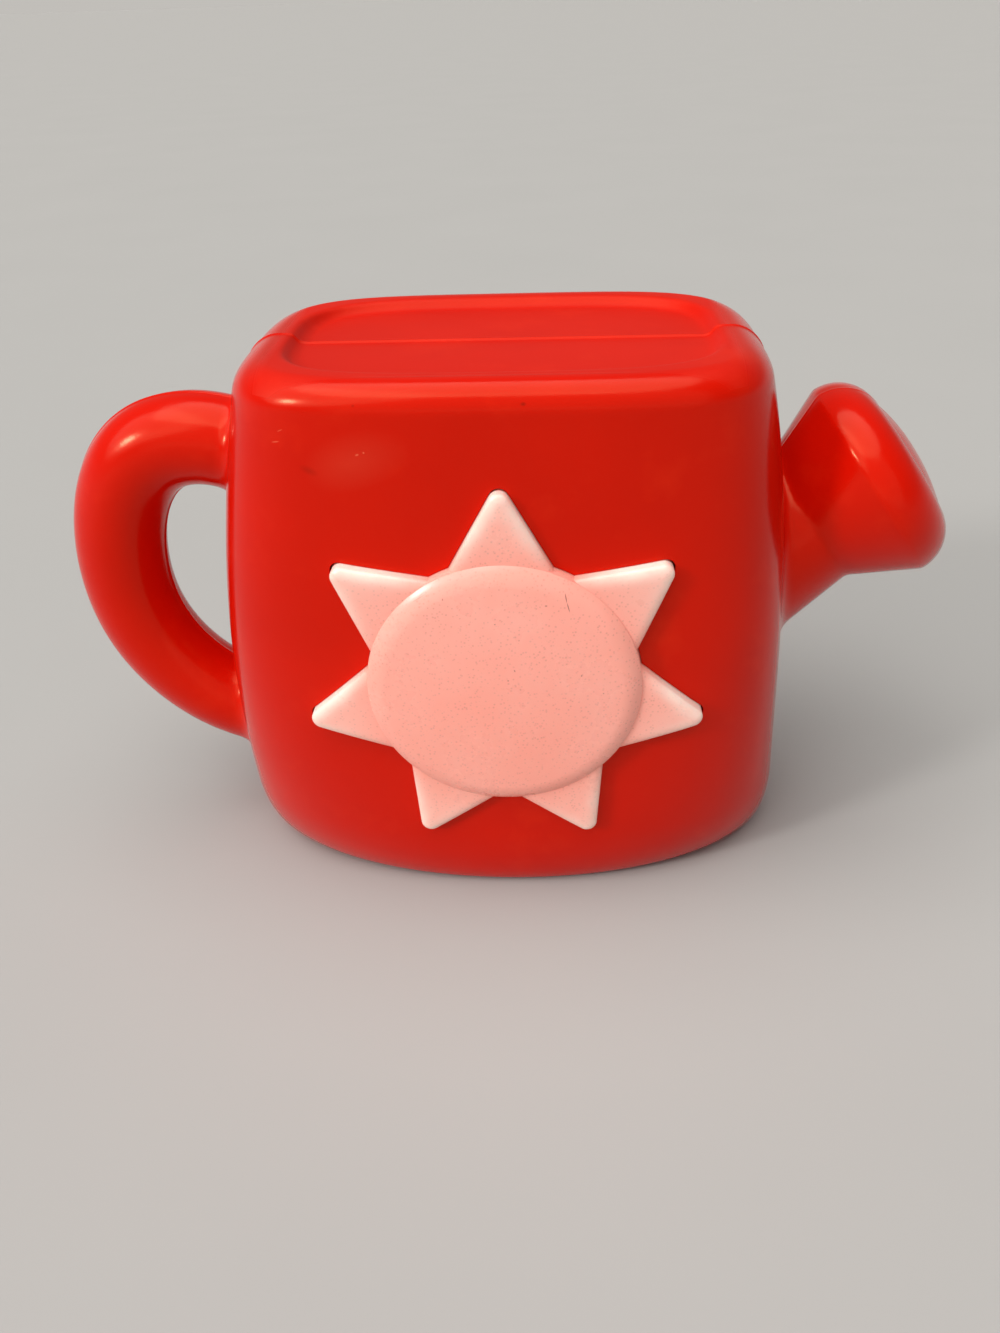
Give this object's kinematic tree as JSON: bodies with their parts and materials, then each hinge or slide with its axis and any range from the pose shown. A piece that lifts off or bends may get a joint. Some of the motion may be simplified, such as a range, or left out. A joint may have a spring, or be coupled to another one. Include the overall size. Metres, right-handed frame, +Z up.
{
  "type": "musical watering can toy",
  "caption": "Red plastic toy watering can with a loop handle, a short spout with a round rose and a pink sun button that is pressed to play music.",
  "frame": {"origin": "middle of the flat base, on the plane where the two half shells meet", "axes": "+X towards the spout, -Y towards the sun on the front, +Z up"},
  "size_m": [0.1831, 0.0738, 0.1126],
  "materials": {
    "red_plastic": "semi-gloss moulded",
    "pink_plastic": "satin moulded",
    "grey_plastic": "matt moulded",
    "black_plastic": "matt moulded",
    "epoxy": "glossy",
    "circuit_laminate": "lacquered",
    "rubber": "matt",
    "cone_paper": "matt paper",
    "steel": "zinc plated",
    "magnet": "matt",
    "cell_jacket": "semi-gloss",
    "red_lead": "matt",
    "black_lead": "matt"
  },
  "bodies": {
    "case": {"back_shell": "red_plastic", "battery_1": "cell_jacket", "battery_2": "cell_jacket", "battery_box": "black_plastic", "battery_lead_minus": "black_lead", "battery_lead_plus": "red_lead", "battery_spring_1": "steel", "battery_spring_2": "steel", "board_screw_1": "steel", "board_screw_2": "steel", "box_screw_1": "steel", "box_screw_2": "steel", "bracket_screw_1": "steel", "bracket_screw_2": "steel", "bracket_screw_3": "steel", "bracket_screw_4": "steel", "button_bracket": "grey_plastic", "button_spring_1": "steel", "button_spring_2": "steel", "button_spring_3": "steel", "capacitor": "black_plastic", "case_screw_1": "steel", "case_screw_2": "steel", "case_screw_3": "steel", "case_screw_4": "steel", "case_screw_5": "steel", "case_screw_6": "steel", "circuit_board": "circuit_laminate", "clamp_screw_1": "steel", "clamp_screw_2": "steel", "contact_bridge": "steel", "contact_minus": "steel", "contact_plus": "steel", "front_shell": "red_plastic", "sound_chip": "epoxy", "speaker_clamp": "grey_plastic", "speaker_cone": "cone_paper", "speaker_frame": "steel", "speaker_lead_1": "black_lead", "speaker_lead_2": "red_lead", "speaker_magnet": "magnet", "switch_dome": "rubber"},
    "sun": {"sun_button": "pink_plastic"},
    "door": {"battery_door": "red_plastic"},
    "door_fixing": {"door_screw": "steel"}
  },
  "joints": [
    {"name": "sun_press", "type": "slide", "parent": "case", "child": "sun", "axis": [0, 1, 0], "range_m": [0, 0.0022], "stiffness_N_per_m": 600, "springref_m": -0.003, "deforming": ["button_spring_1", "button_spring_2", "button_spring_3", "switch_dome"]},
    {"name": "door_tip", "type": "hinge", "parent": "case", "child": "door", "pos_m": [0, 0.0345, 0.0509], "axis": [1, 0, 0], "range_deg": [0, 60]},
    {"name": "door_screw_turn", "type": "hinge", "parent": "door", "child": "door_fixing", "pos_m": [0, 0.0328, 0.0146], "axis": [0, 1, 0], "range_deg": [0, 1080]}
  ]
}
